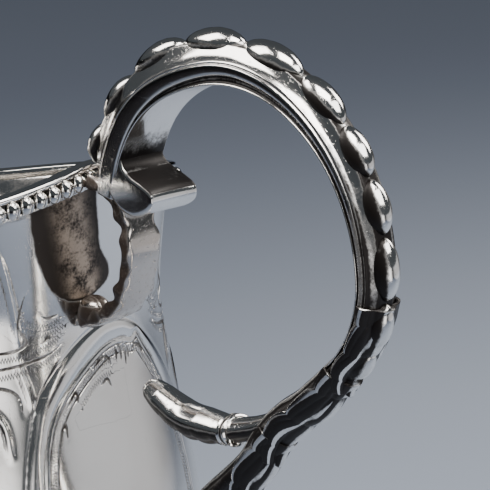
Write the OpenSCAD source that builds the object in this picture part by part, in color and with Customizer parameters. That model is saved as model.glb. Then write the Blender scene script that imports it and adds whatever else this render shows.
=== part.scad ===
// Silver cream jug: pear-shaped body on a domed foot, beaded rim, flying scroll handle.
// Millimetres. +Z is up, the handle is on +X and the spout on -X.
// The origin is on the body's axis, at the underside of the foot.

/* [Body] */
// Height of the body's underside above the table
body_bottom_z = 19; // [14:0.5:26]
// Radius of the flat seat under the body
body_seat_r = 8; // [6:0.5:12]
// Height of the widest part of the belly
belly_z = 48; // [38:0.5:58]
// Outer radius of the belly
belly_r = 35.5; // [28:0.5:44]
// Height of the narrowest part of the neck
neck_z = 94; // [80:0.5:104]
// Outer radius of the neck
neck_r = 28.9; // [22:0.1:36]
// Outward flare from the neck to the rim
rim_flare = 1.6; // [0:0.1:5]
// Thickness of the silver wall
wall = 0.9; // [0.6:0.05:1.5]
// Lowest height of the rim, at the sides
rim_low_z = 95.5; // [88:0.5:108]
// Rise of the rim from its lowest point to the handle
rim_handle_rise = 16.5; // [5:0.5:22]
// Rise of the rim from its lowest point to the spout
rim_spout_rise = 19; // [5:0.5:26]
// Angle from the handle to the rim's lowest point
rim_low_angle = 128; // [110:1:140]
// Reach of the spout beyond the round neck
spout_reach = 15; // [6:0.5:24]
// Half angle of the spout
spout_angle = 25; // [16:1:36]
// Height where the spout starts to leave the body
spout_start_z = 62; // [50:1:80]

/* [Rim border] */
// Height of the plain lip on the rim
lip_h = 1.0; // [0.6:0.1:2]
// Reach of the lip outside the wall
lip_w = 1.5; // [0.8:0.1:2.5]
// Diameter of a rim bead
bead_d = 1.9; // [1.2:0.1:3]
// Gap between neighbouring beads
bead_gap = 0.12; // [0.05:0.01:0.5]
// Height of the fillet wire under the beads
fillet_h = 0.8; // [0.4:0.1:1.5]
// Reach of the fillet wire outside the wall
fillet_w = 0.9; // [0.4:0.1:1.5]

/* [Handle] */
// Distance from the body's axis to the inner face of the loop beside the body
root_x = 40.5; // [34:0.5:50]
// Height of the loop's centre
loop_z = 107; // [96:0.5:118]
// Inner radius of the loop
loop_r = 22.5; // [18:0.5:28]
// Width of the strap beside the roll
strap_w_root = 8.2; // [5:0.1:12]
// Width of the strap at the right of the loop
strap_w_side = 6; // [3:0.1:9]
// Thickness of the strap beside the rim
strap_t_root = 9; // [5:0.1:12]
// Thickness of the strap at the top of the loop
strap_t_top = 5.2; // [3:0.1:8]
// Thickness of the strap at the right of the loop
strap_t_side = 3; // [2:0.1:5]
// Thickness of the strap at its tail
strap_t_tail = 2.2; // [1.5:0.1:4]
// Height of the lobes along the spine
lobe_h = 1.7; // [0.8:0.1:3]
// Length of the roll at the end of the strap
roll_len = 8.6; // [5:0.1:12]
// Depth of the roll at the end of the strap
roll_h = 6.2; // [4:0.1:9]
// How far the loop draws in towards the leaves
loop_tuck = 2.3; // [0:0.1:4]
// Depth of the inner curl
curl_t = 4; // [2:0.1:5]
// Thickness of the stem that carries the loop
stem_t = 4.6; // [3:0.1:7]
// Height where the stem meets the body
stem_foot_z = 57; // [50:0.5:66]

/* [Bracket] */
// Reach of the bracket beyond the wall
bracket_reach = 10.5; // [6:0.5:14]
// Height of the bracket from its tip to the rim
bracket_h = 21; // [14:0.5:28]
// Width of the bracket
bracket_w = 6; // [4:0.1:8]
// Thickness of the bracket
bracket_t = 1.5; // [1:0.1:3]

/* [Foot] */
// Outer radius of the foot
foot_r = 24; // [18:0.5:32]
// Thickness of the flat base ring
base_t = 1.6; // [1:0.1:3]
// Diameter of a foot bead
foot_bead_d = 2.1; // [1.4:0.1:3]
// Radius of the foot's waist
waist_r = 7.5; // [5:0.5:12]
// Height of the collar between the foot and the body
collar_h = 3.4; // [2:0.1:6]

/* [Fit] */
// Depth that a soldered piece seats into its neighbour
seat = 0.12; // [0.05:0.01:0.3]

/* [Hidden] */
// The loop grows away from the body, so its centre follows its radius.
loop_x = root_x + loop_r;
silver = [0.83, 0.83, 0.81];
dark_silver = [0.62, 0.61, 0.60];
step_deg = 5;
around = 360 / step_deg;
border_h = bead_d + fillet_h;
border_inset = 0.4;

function mix(a, b, k) = a + (b - a) * k;
function clamp01(x) = min(1, max(0, x));
function ease(x) = (1 - cos(180 * clamp01(x))) / 2;
function fold(a) = abs(a > 180 ? a - 360 : a);

// Height of the wall's top edge at an angle from the handle.
function rim_z(a) =
    let (b = fold(a))
    b < rim_low_angle
        ? rim_low_z + rim_handle_rise * pow(1 - sqrt(b * b + 16) / sqrt(pow(rim_low_angle, 2) + 16), 1.15)
        : rim_low_z + rim_spout_rise * ease((b - rim_low_angle) / (180 - rim_low_angle));

// Outer radius of the round body at a height, before the spout.
function round_r(z) =
    z <= belly_z
        ? body_seat_r + (belly_r - body_seat_r)
            * sqrt(max(0, 1 - pow((belly_z - z) / (belly_z - body_bottom_z), 2)))
        : mix(belly_r, neck_r, ease((z - belly_z) / (neck_z - belly_z)));

// Outer radius at an angle and height, with the flare and the spout.
function body_r(a, z) =
    let (top = rim_z(a),
         up = clamp01((z - spout_start_z) / (top - spout_start_z)),
         flare = clamp01((z - neck_z + 8) / (top - neck_z + 8)),
         side = (180 - fold(a)) / spout_angle)
    round_r(z) + rim_flare * flare * flare
        + spout_reach * exp(-side * side) * pow(up, 2.2);

// A point beside the wall: out is measured outwards, drop down from the top edge.
function wall_point(a, out, drop) =
    let (z = rim_z(a) - drop, r = body_r(a, z) + out)
    [r * cos(a), r * sin(a), z];

// Heights of the body's rows as shares of the way from the seat to the rim.
low_rows = [for (k = [1:8]) sin(k * 90 / 8)];
high_rows = [for (k = [1:9]) k / 9];
rows_z = function (a) concat(
    [for (s = low_rows) body_bottom_z + (1 - cos(asin(s))) * (belly_z - body_bottom_z)],
    [for (s = high_rows) mix(belly_z, rim_z(a) - border_h, s)],
    [rim_z(a)]);

// Joins rings of points into one closed skin with flat ends.
module skin(rings) {
    n = len(rings[0]);
    last = len(rings) - 1;
    points = [for (ring = rings) each ring];
    sides = [for (i = [0:last - 1], j = [0:n - 1]) let (k = (j + 1) % n)
        each [[i * n + j, i * n + k, (i + 1) * n + k],
              [i * n + j, (i + 1) * n + k, (i + 1) * n + j]]];
    ends = [[for (j = [n - 1:-1:0]) j], [for (j = [0:n - 1]) last * n + j]];
    polyhedron(points, concat(sides, ends), convexity = 10);
}

// Joins rings into a hoop that closes on itself.
module hoop(rings) {
    n = len(rings[0]);
    m = len(rings);
    points = [for (ring = rings) each ring];
    faces = [for (i = [0:m - 1], j = [0:n - 1]) let (k = (j + 1) % n, p = (i + 1) % m)
        each [[i * n + j, p * n + j, p * n + k], [i * n + j, p * n + k, i * n + k]]];
    polyhedron(points, faces, convexity = 10);
}

// Rings around the axis from one pole to the other.
module lathe_grid(low_pole, rings, high_pole) {
    n = len(rings[0]);
    m = len(rings);
    points = concat([low_pole], [for (ring = rings) each ring], [high_pole]);
    end = len(points) - 1;
    faces = concat(
        [for (j = [0:n - 1]) [0, 1 + j, 1 + (j + 1) % n]],
        [for (i = [0:m - 2], j = [0:n - 1]) let (k = (j + 1) % n, b = 1 + i * n)
            each [[b + j, b + n + j, b + n + k], [b + j, b + n + k, b + k]]],
        [for (j = [0:n - 1]) [end, end - n + (j + 1) % n, end - n + j]]);
    polyhedron(points, faces, convexity = 10);
}

module body_shell() {
    count = len(rows_z(0));
    outer = [for (i = [0:count - 1]) [for (a = [0:step_deg:359])
        let (z = rows_z(a)[i], r = body_r(a, z)) [r * cos(a), r * sin(a), z]]];
    seat_ring = [for (a = [0:step_deg:359])
        [body_seat_r * cos(a), body_seat_r * sin(a), body_bottom_z]];
    inner = [for (i = [count - 1:-1:1]) [for (a = [0:step_deg:359])
        let (z = max(rows_z(a)[i], body_bottom_z + wall), r = body_r(a, z) - wall)
        [r * cos(a), r * sin(a), z]]];
    floor_ring = [for (a = [0:step_deg:359])
        [body_seat_r * cos(a), body_seat_r * sin(a), body_bottom_z + wall]];
    color(silver)
    lathe_grid([0, 0, body_bottom_z],
               concat([seat_ring], outer, inner, [floor_ring]),
               [0, 0, body_bottom_z + wall]);
}

module rim_lip() {
    color(silver)
    hoop([for (a = [0:step_deg:359]) [
        wall_point(a, -wall - 0.2, 0),
        wall_point(a, lip_w - 0.3, 0),
        wall_point(a, lip_w, -lip_h * 0.35),
        wall_point(a, lip_w, -lip_h * 0.75),
        wall_point(a, lip_w - 0.3, -lip_h),
        wall_point(a, -wall - 0.2, -lip_h)]]);
}

module rim_fillet_wire() {
    z0 = bead_d;
    color(silver)
    hoop([for (a = [0:step_deg:359]) [
        wall_point(a, -seat, z0 + fillet_h),
        wall_point(a, fillet_w * 0.6, z0 + fillet_h),
        wall_point(a, fillet_w, z0 + fillet_h * 0.6),
        wall_point(a, fillet_w, z0 + fillet_h * 0.3),
        wall_point(a, fillet_w * 0.6, z0),
        wall_point(a, -seat, z0)]]);
}

// Length along the bead line from the handle, one entry a degree.
function bead_centre(a) = wall_point(a, bead_d / 2 - seat, bead_d / 2);
arc_steps = [for (a = 0, s = 0; a <= 360;
    s = s + norm(bead_centre(a + 1) - bead_centre(a)), a = a + 1) [s, a]];
rim_length = arc_steps[360][0];
bead_count = floor(rim_length / (bead_d + bead_gap));

module rim_beads() {
    color(silver)
    for (k = [0:bead_count - 1])
        translate(bead_centre(lookup((k + 0.5) * rim_length / bead_count, arc_steps)))
            sphere(d = bead_d, $fn = 32);
}

// The handle lies in the XZ plane. A station is [x, z, angle of its outward side].
function polar(a, r) =
    let (q = r - loop_tuck * pow(clamp01(-a / 38), 1.5))
    [loop_x + q * cos(a), loop_z + q * sin(a)];
root_angle = 177;
tail_angle = -38;
function strap_t(a) =
    a > 166 ? mix(strap_t_root, strap_t_root * 0.45, (a - 166) / (root_angle - 166))
    : a > 100 ? mix(strap_t_top, strap_t_root, (a - 100) / 66)
    : a > 0 ? mix(strap_t_side, strap_t_top, a / 100)
    : mix(strap_t_side, strap_t_tail, clamp01(a / tail_angle));
function strap_w(a) = mix(strap_w_side, strap_w_root, clamp01(a / 160));

// A ring across the handle: u is measured out from the inner face, v across it.
function cross_ring(x, z, a, section) =
    [for (p = section) [x + p[0] * cos(a), p[1], z + p[0] * sin(a)]];
function strap_section(t, w) = [
    [0, -w * 0.42], [0, w * 0.42], [t * 0.12, w * 0.5], [t * 0.42, w * 0.5],
    [t * 0.55, w * 0.42], [t * 0.72, w * 0.27], [t, w * 0.22],
    [t, -w * 0.22], [t * 0.72, -w * 0.27], [t * 0.55, -w * 0.42],
    [t * 0.42, -w * 0.5], [t * 0.12, -w * 0.5]];

module handle_strap() {
    color(silver)
    skin([for (k = [0:52])
        let (a = mix(root_angle, tail_angle, k / 52), p = polar(a, loop_r))
        cross_ring(p[0], p[1], a, strap_section(strap_t(a), strap_w(a)))]);
}

// Roll: a full drop shape across the end of the strap, its nose inside the loop.
roll_x = loop_x - loop_r - 0.6;
roll_z = loop_z + 3.6;
function roll_outline() = concat(
    [for (b = [-90:10:90]) [roll_x + roll_len - roll_h / 2 + roll_h / 2 * cos(b) - 1.6,
                            roll_z + roll_h / 2 * sin(b)]],
    [[roll_x + 1.2, roll_z + roll_h * 0.62], [roll_x, roll_z + roll_h * 0.5],
     [roll_x - 1, roll_z - roll_h * 0.2], [roll_x + 0.6, roll_z - roll_h * 0.47]]);

module handle_roll() {
    color(silver)
    rotate([90, 0, 0])
        linear_extrude(height = strap_w_root, center = true)
            polygon(roll_outline());
}

// Lobes follow the spine: round-number angles, longest at the top.
lobe_angles = [171, 158, 141, 118, 94, 70, 50, 33, 16, -4, -21, -36];
function lobe_wave(a, k = 0) =
    k > len(lobe_angles) - 2 ? 0
    : a <= lobe_angles[k] && a >= lobe_angles[k + 1]
        ? sin(180 * (lobe_angles[k] - a) / (lobe_angles[k] - lobe_angles[k + 1]))
        : lobe_wave(a, k + 1);

module spine_lobes() {
    first = lobe_angles[0];
    last = lobe_angles[len(lobe_angles) - 1];
    count = 96;
    color(silver)
    skin([for (k = [0:count])
        let (a = mix(first, last, k / count),
             wave = pow(max(0, lobe_wave(a)), 0.6),
             t = strap_t(a) - seat,
             h = lobe_h * mix(0.35, 1, wave) + seat,
             b = strap_w(a) * mix(0.14, 0.27, wave),
             p = polar(a, loop_r))
        cross_ring(p[0], p[1], a, [
            [t, -b * 0.8], [t, b * 0.8], [t + h * 0.45, b], [t + h * 0.8, b * 0.7],
            [t + h, 0], [t + h * 0.8, -b * 0.7], [t + h * 0.45, -b]])]);
}

// Points along a smooth curve through a short list of places.
function curve_at(p0, p1, p2, p3, t) = 0.5 * (2 * p1 + (p2 - p0) * t
    + (2 * p0 - 5 * p1 + 4 * p2 - p3) * t * t
    + (3 * p1 - p0 - 3 * p2 + p3) * t * t * t);
function curve(pts, per) = let (m = len(pts) - 1) concat(
    [for (i = [0:m - 1], k = [0:per - 1])
        curve_at(pts[max(0, i - 1)], pts[i], pts[i + 1], pts[min(m, i + 2)], k / per)],
    [pts[m]]);
function heading(path, i) =
    let (m = len(path) - 1, d = path[min(m, i + 1)] - path[max(0, i - 1)])
    atan2(d[1], d[0]);

// Oval section: 12 sides, h deep along the outward side and w across.
function oval(h, w) = [for (b = [0:30:330]) [h / 2 * cos(b), w / 2 * sin(b)]];
module oval_sweep(path, depths, widths) {
    m = len(path) - 1;
    skin([for (i = [0:m])
        cross_ring(path[i][0], path[i][1], heading(path, i) + 90,
                   oval(lookup(i / m, depths), lookup(i / m, widths)))]);
}

// Stem: leaves the tail of the loop and runs down to the body in an S.
stem_foot = [body_r(0, stem_foot_z) + 3.4, stem_foot_z + 3];
tail = polar(tail_angle, loop_r + strap_t_side / 2);
knee = tail + [-17.2, -16];
stem_path = curve([tail, tail + [-5, -4.2], tail + [-10, -7.8], tail + [-13.8, -11.4], knee,
    mix(knee, stem_foot, 0.3) + [0.4, -0.8], mix(knee, stem_foot, 0.68) + [0.6, -1.6],
    stem_foot], 4);

module handle_stem() {
    color(silver)
    oval_sweep(stem_path, [[0, strap_t_side], [0.2, stem_t], [0.6, stem_t], [1, stem_t * 0.7]],
               [[0, strap_w_side * 0.9], [0.3, strap_w_side], [1, strap_w_side * 0.7]]);
}

// Inner curl: a branch that runs back along the bottom of the loop to a round tip.
collar_at = tail + [-21.1, -12.4];
curl_path = curve([tail + [-8.3, -6.4], tail + [-14.2, -10], collar_at,
    collar_at + [-3.9, -0.5], collar_at + [-8.8, -0.5], collar_at + [-12.8, 0.6],
    collar_at + [-17.4, 2.5]], 4);

module inner_curl() {
    color(silver)
    oval_sweep(curl_path,
               [[0, curl_t * 0.7], [0.4, curl_t * 0.9], [0.75, curl_t * 1.1], [1, curl_t * 0.6]],
               [[0, curl_t], [0.5, curl_t * 1.1], [0.85, curl_t * 1.25], [1, curl_t * 0.7]]);
}

module curl_collar() {
    color(dark_silver)
    translate([collar_at[0], 0, collar_at[1]])
        rotate([0, 90 - 10, 0])
            difference() {
                cylinder(d = curl_t * 1.4, h = 1.8, center = true, $fn = 48);
                cylinder(d = curl_t * 1.12, h = 3, center = true, $fn = 48);
            }
}

// A leaf: a curved blade with a raised middle that hugs the outside of the handle.
module leaf(path, depth, width) {
    m = len(path) - 1;
    skin([for (i = [0:m])
        let (s = i / m,
             w = width * pow(sin(20 + 150 * s), 0.8),
             h = depth * mix(0.6, 1, sin(180 * s)))
        cross_ring(path[i][0], path[i][1], heading(path, i) + 90, [
            [0, -w * 0.5], [-h * 0.4, -w * 0.42], [-h * 0.2, -w * 0.2], [-h, 0],
            [-h * 0.2, w * 0.2], [-h * 0.4, w * 0.42], [0, w * 0.5], [h * 0.3, 0]])]);
}

upper_leaf_path = curve([polar(-14, loop_r + strap_t_side - 0.2),
    polar(-26, loop_r + strap_t_tail + 0.3), polar(-37, loop_r + strap_t_tail + 0.4),
    polar(-43, loop_r + strap_t_tail + 1.8)], 5);
module leaf_upper() {
    color(silver)
    leaf([for (i = [len(upper_leaf_path) - 1:-1:0]) upper_leaf_path[i]], 1.6,
         strap_w_side * 1.35);
}

lower_leaf_path = curve([tail + [-2.5, -4], tail + [-7, -8.4], tail + [-11, -11.6],
    tail + [-11.6, -14.8]], 5);
module leaf_lower() {
    color(silver)
    leaf([for (i = [len(lower_leaf_path) - 1:-1:0]) lower_leaf_path[i]], 1.6,
         strap_w_side * 1.35);
}

stem_leaf_path = curve([knee + [6, 1.4], knee + [3.4, -1.2], knee + [1.4, -3.6],
    knee + [2.6, -6]], 5);
module stem_leaf() {
    color(silver)
    leaf([for (i = [len(stem_leaf_path) - 1:-1:0]) stem_leaf_path[i]], 1.4,
         strap_w_side * 1.1);
}

// Volute under the stem, rolled tight against the body.
volute_r = 4.2;
volute_at = [stem_foot[0] + 0.6, stem_foot[1] - 3.6];
module lower_volute() {
    color(silver)
    translate([volute_at[0], 0, volute_at[1]])
        rotate([90, 0, 0])
            rotate_extrude($fn = 64)
                polygon([[0, -2.6], [volute_r * 0.35, -2.6], [volute_r * 0.5, -2],
                         [volute_r * 0.8, -2.3], [volute_r, -1.6], [volute_r, 1.6],
                         [volute_r * 0.8, 2.3], [volute_r * 0.5, 2],
                         [volute_r * 0.35, 2.6], [0, 2.6]]);
}

// Plate soldered to the body behind the volute.
plate_r = 5.4;
module joint_plate() {
    count = 9;
    color(silver)
    skin([for (k = [0:count])
        let (y = mix(-plate_r * 0.8, plate_r * 0.8, k / count),
             half = plate_r * sqrt(max(0.02, 1 - pow(y / plate_r, 2))),
             zs = [for (j = [0:6]) stem_foot_z + mix(-half, half, j / 6)])
        concat([for (z = zs) [sqrt(pow(body_r(0, z) - seat, 2) - y * y), y, z]],
               [for (j = [6:-1:0]) [sqrt(pow(body_r(0, zs[j]) + 1, 2) - y * y), y, zs[j]]])]);
}

// Bracket: a strap that bows out under the roll and comes back to the wall.
bracket_top_z = rim_z(0) - 0.6;
bracket_tip_z = bracket_top_z - bracket_h;
bracket_x0 = body_r(0, rim_z(0)) + lip_w + bracket_t / 2 - seat;
bracket_path = curve([
    [bracket_x0, bracket_top_z],
    [roll_x - 1.42, bracket_top_z - 2.6],
    [neck_r + bracket_reach * 1.15, bracket_top_z - 9.5],
    [neck_r + bracket_reach * 0.84, bracket_top_z - 17],
    [body_r(0, bracket_tip_z) + bracket_t / 2 - seat, bracket_tip_z]], 6);

module upper_bracket() {
    m = len(bracket_path) - 1;
    color(dark_silver)
    skin([for (i = [0:m])
        let (s = i / m, w = bracket_w * mix(1, 0.6, pow(s, 4)), t = bracket_t)
        cross_ring(bracket_path[i][0], bracket_path[i][1], heading(bracket_path, i) + 90, [
            [-t / 2, -w * 0.42], [-t / 2, w * 0.42], [0, w * 0.5],
            [t / 2, w * 0.4], [t / 2, -w * 0.4], [0, -w * 0.5]])]);
}

module bracket_toe() {
    toe_z = bracket_tip_z + 2.2;
    toe_d = bracket_w * 0.62;
    color(dark_silver)
    translate([body_r(0, toe_z) + toe_d * 0.42, 0, toe_z])
        sphere(d = toe_d, $fn = 40);
}

// Foot pieces are turned about the body's axis.
collar_z = body_bottom_z - collar_h;
module foot_collar() {
    color(silver)
    rotate_extrude($fn = 96)
        polygon([[0, collar_z], [waist_r, collar_z], [waist_r + 1.2, collar_z + collar_h * 0.2],
                 [waist_r + 1.9, collar_z + collar_h * 0.5],
                 [waist_r + 1.2, collar_z + collar_h * 0.8],
                 [body_seat_r, body_bottom_z], [0, body_bottom_z]]);
}

dome_foot_r = foot_r - foot_bead_d - 0.8;
function dome_r(z) = mix(dome_foot_r, waist_r, pow(ease((z - base_t) / (collar_z - base_t)), 0.62));
module foot_dome() {
    count = 16;
    zs = [for (k = [0:count]) mix(base_t, collar_z, k / count)];
    color(silver)
    rotate_extrude($fn = 96)
        polygon(concat([for (z = zs) [dome_r(z), z]],
                       [[0, collar_z], [0, collar_z - wall]],
                       [for (k = [count - 1:-1:0])
                            [max(0.5, dome_r(zs[k]) - wall * 1.3), zs[k]]]));
}

foot_bead_r = foot_r - foot_bead_d / 2 - 0.2;
foot_bead_count = floor(360 / (2 * asin((foot_bead_d + bead_gap) / (2 * foot_bead_r))));
module foot_beads() {
    color(silver)
    for (k = [0:foot_bead_count - 1])
        rotate([0, 0, k * 360 / foot_bead_count])
            translate([foot_bead_r, 0, base_t + foot_bead_d / 2 - seat])
                sphere(d = foot_bead_d, $fn = 32);
}

module foot_base_ring() {
    inner = dome_foot_r - 3;
    color(silver)
    rotate_extrude($fn = 96)
        polygon([[inner, 0], [foot_r - 0.4, 0], [foot_r, 0.4], [foot_r, base_t - 0.4],
                 [foot_r - 0.4, base_t], [inner, base_t]]);
}

body_shell();
rim_lip();
rim_beads();
rim_fillet_wire();
handle_strap();
handle_roll();
spine_lobes();
leaf_upper();
leaf_lower();
inner_curl();
curl_collar();
handle_stem();
stem_leaf();
lower_volute();
joint_plate();
upper_bracket();
bracket_toe();
foot_collar();
foot_dome();
foot_beads();
foot_base_ring();
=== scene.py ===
"""Silver cream jug, seen close up at its scroll handle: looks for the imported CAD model."""

import math

import bpy
import numpy as np
from bpy.props import FloatProperty, FloatVectorProperty, IntProperty, PointerProperty
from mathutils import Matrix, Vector


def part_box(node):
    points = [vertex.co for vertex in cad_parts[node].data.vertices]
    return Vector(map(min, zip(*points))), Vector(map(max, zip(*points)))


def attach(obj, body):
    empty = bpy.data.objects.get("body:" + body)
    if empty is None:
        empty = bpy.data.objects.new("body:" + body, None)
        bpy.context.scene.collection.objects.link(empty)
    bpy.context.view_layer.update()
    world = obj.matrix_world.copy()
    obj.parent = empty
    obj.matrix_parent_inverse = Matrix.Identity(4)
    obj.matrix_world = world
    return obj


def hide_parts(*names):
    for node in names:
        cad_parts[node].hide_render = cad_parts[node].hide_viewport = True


bl_info = {
    "name": "Silver Cream Jug",
    "version": (1, 0, 0),
    "blender": (4, 5, 0),
    "location": "3D View > Sidebar > Cream Jug",
    "description": "Builds a silver cream jug with a beaded rim and a cast scroll handle",
    "category": "Add Mesh",
}

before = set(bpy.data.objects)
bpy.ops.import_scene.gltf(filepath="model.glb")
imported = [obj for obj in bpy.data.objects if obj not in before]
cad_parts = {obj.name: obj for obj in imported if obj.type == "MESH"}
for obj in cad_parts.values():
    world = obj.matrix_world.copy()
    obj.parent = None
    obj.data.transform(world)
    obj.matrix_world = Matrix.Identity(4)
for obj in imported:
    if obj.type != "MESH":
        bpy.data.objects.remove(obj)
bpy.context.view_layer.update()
MM = 0.001


def cad_mm(node):
    """Lowest and highest corner of a CAD node, in millimetres."""
    low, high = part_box(node)
    return np.array(low) / MM, np.array(high) / MM


BODY_LOW, BODY_HIGH = cad_mm("body_shell")
FOOT_HIGH = cad_mm("foot_base_ring")[1]
COLLAR_LOW, COLLAR_HIGH = cad_mm("foot_collar")


# Sizes and colours ----------------------------------------

def number(name, description, default, low, high, kind=FloatProperty):
    return kind(name=name, description=description, default=default, min=low, max=high)


def colour(name, description, default):
    return FloatVectorProperty(name=name, description=description, default=default,
                               subtype="COLOR", size=3)


class JugSizes(bpy.types.PropertyGroup):
    """Sizes of the jug, in millimetres and degrees, as the CAD model has them."""

    belly_r: number("Belly radius", "Outer radius of the belly", float(BODY_HIGH[1]), 20, 60)
    belly_z: number("Belly height", "Height of the widest part", 48, 20, 80)
    seat_r: number("Seat radius", "Flat seat under the body", 8, 4, 16)
    neck_r: number("Neck radius", "Outer radius of the neck", 28.9, 15, 50)
    neck_z: number("Neck height", "Height of the narrowest part", 94, 70, 110)
    flare: number("Rim flare", "Flare from the neck to the rim", 1.6, 0, 6)
    wall: number("Wall", "Thickness of the silver", 0.9, 0.4, 2)
    rim_low_z: number("Rim low", "Lowest height of the rim", 95.5, 80, 120)
    rim_handle_rise: number("Handle rise", "Rise to the handle", 16.5, 0, 30)
    rim_spout_rise: number("Spout rise", "Rise to the spout", 19, 0, 30)
    rim_low_angle: number("Low angle", "Degrees to the rim's low", 128, 90, 160)
    spout_reach: number("Spout reach", "Reach of the spout", 15, 0, 30)
    spout_angle: number("Spout angle", "Half angle of the spout", 25, 10, 45)
    spout_start_z: number("Spout start", "Where the spout starts", 62, 40, 90)
    bead_d: number("Bead", "Diameter of a rim bead", 1.9, 1, 4)
    root_x: number("Loop root", "Loop's inner face from the axis", 40.5, 30, 60)
    loop_z: number("Loop height", "Height of the loop's centre", 107, 80, 130)
    loop_r: number("Loop radius", "Inner radius of the loop", 22.5, 10, 40)
    strap_w_root: number("Root width", "Strap width at the roll", 8.2, 3, 15)
    strap_w_side: number("Side width", "Strap width at the right", 6, 3, 15)
    lobe_h: number("Lobe height", "Height of the spine's lobes", 1.9, 0.5, 4)
    columns: number("Columns", "Columns of the body's mesh", 860, 60, 1600, IntProperty)


class JugFinish(bpy.types.PropertyGroup):
    """Colours and wear of the silver and the studio."""

    silver: colour("Silver", "Clean polished silver", (0.90, 0.885, 0.86))
    patina_and_shade_tone: colour("Tarnish", "Brown sulphide in hollows", (0.034, 0.026, 0.021))
    cast: colour("Cast silver", "Silver left from the mould", (0.62, 0.575, 0.53))
    floor: colour("Floor", "Pale floor under the jug", (0.296, 0.337, 0.408))
    shade: colour("Far floor", "Floor where the light ends", (0.109, 0.128, 0.168))


def sizes():
    return bpy.context.scene.jug_sizes


def finish():
    return bpy.context.scene.jug_finish


# Forms shared by the pieces -----------------------------

def ease(x):
    return (1 - np.cos(np.pi * np.clip(x, 0, 1))) / 2


def bell(x, width):
    return np.exp(-(np.asarray(x) / width) ** 2)


def fold(deg):
    """Angle from the handle, 0 to 180, for any angle."""
    deg = np.mod(deg, 360)
    return np.where(deg > 180, 360 - deg, deg)


def rim_z(deg):
    s = sizes()
    b, low = fold(deg), s.rim_low_angle
    share = np.clip(1 - np.sqrt(b * b + 16) / math.sqrt(low * low + 16), 0, 1)
    near = s.rim_low_z + s.rim_handle_rise * share ** 1.15
    far = s.rim_low_z + s.rim_spout_rise * ease((b - low) / (180 - low))
    return np.where(b < low, near, far)


def body_r(deg, z):
    """Outer radius of the body at an angle and a height."""
    s = sizes()
    bottom = BODY_LOW[2]
    drop = np.clip((s.belly_z - z) / (s.belly_z - bottom), 0, 1)
    under = s.seat_r + (s.belly_r - s.seat_r) * np.sqrt(1 - drop ** 2)
    over = s.belly_r + (s.neck_r - s.belly_r) * ease((z - s.belly_z) / (s.neck_z - s.belly_z))
    top = rim_z(deg)
    up = np.clip((z - s.spout_start_z) / (top - s.spout_start_z), 0, 1)
    flare = np.clip((z - s.neck_z + 8) / (top - s.neck_z + 8), 0, 1)
    side = (180 - fold(deg)) / s.spout_angle
    return (np.where(z <= s.belly_z, under, over) + s.flare * flare ** 2
            + s.spout_reach * bell(side, 1) * up ** 2.2)


def round_points(deg, r, z):
    a = np.radians(deg)
    return np.stack([r * np.cos(a), r * np.sin(a), z + 0 * a], -1)


def wall_points(deg, out, drop):
    """Points beside the wall: out is measured outwards, drop down from its top edge."""
    z = rim_z(deg) - drop
    return round_points(deg, body_r(deg, z) + out, z)


def smooth_path(points, per=8, closed=False):
    """A smooth curve through a short list of places."""
    p = np.array(points, float)
    if closed:
        p = np.vstack([p[-1:], p, p[:2]])
    else:
        p = np.vstack([2 * p[0] - p[1], p, 2 * p[-1] - p[-2]])
    t = np.linspace(0, 1, per, endpoint=False)[:, None]
    runs = []
    for a, b, c, d in zip(p, p[1:], p[2:], p[3:]):
        runs.append(0.5 * (2 * b + (c - a) * t + (2 * a - 5 * b + 4 * c - d) * t ** 2
                           + (3 * b - a - 3 * c + d) * t ** 3))
    if not closed:
        runs.append(p[-2:-1])
    return np.vstack(runs)


def even_path(points, count):
    """The same curve with its points at even distances."""
    step = np.r_[0, np.cumsum(np.linalg.norm(np.diff(points, axis=0), axis=1))]
    at = np.linspace(0, step[-1], count)
    return np.stack([np.interp(at, step, points[:, k]) for k in range(points.shape[1])], -1)


def closed_line(points, turn=0):
    """A smooth outline, turned about the axis, that ends where it starts."""
    line = smooth_path(points, closed=True) + np.array([turn, 0])
    return np.vstack([line, line[:1]])


def full_turn(count):
    return np.linspace(0, 2 * np.pi, count, endpoint=False)


def columns(*values):
    """Numbers and rows of numbers side by side, as one table."""
    return np.stack(np.broadcast_arrays(*values), -1)


def oval(turn, depth, width, dark):
    return columns(depth / 2 * np.cos(turn), width / 2 * np.sin(turn), dark)


def grid_faces(rows, cols, along=False, caps=True, start=0):
    """Four-sided faces over rings of points, joined end to end or else capped."""
    index = start + np.arange(rows * cols).reshape(rows, cols)
    here = index if along else index[:-1]
    there = np.roll(index, -1, 0) if along else index[1:]
    quads = np.stack([here, np.roll(here, -1, 1), np.roll(there, -1, 1), there], -1)
    faces = quads.reshape(-1, 4).tolist()
    if caps and not along:
        faces += [index[0, ::-1].tolist(), index[-1].tolist()]
    return faces


def new_object(name, data):
    obj = bpy.data.objects.new(name, data)
    bpy.context.collection.objects.link(obj)
    return obj


def mesh_piece(name, points, faces, slot, node, **marks):
    """A piece in millimetres that rides on the jug, with its marks stored per point."""
    mesh = bpy.data.meshes.new(name)
    mesh.from_pydata((points * MM).tolist(), [], faces)
    for key, values in marks.items():
        layer = mesh.attributes.new(key, "FLOAT", "POINT")
        layer.data.foreach_set("value", np.ravel(values).astype(np.float32))
    mesh.update()
    mesh.polygons.foreach_set("use_smooth", [True] * len(mesh.polygons))
    look = SILVERS[slot]
    mesh.materials.append(bpy.data.materials.get(look["name"]) or silver_material(**look))
    obj = new_object(name, mesh)
    outward_faces(obj)
    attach(obj, "root")
    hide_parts(node)


def piece(name, rings, slot, node, hollow, along=False, **more_marks):
    """A skin over rings of points; its darkness value says how much tarnish each point gathers
    and how much painted shade it is given.
    """
    faces = grid_faces(*rings.shape[:2], along)
    mesh_piece(name, rings.reshape(-1, 3), faces, slot, node, hollow=hollow, **more_marks)


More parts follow.
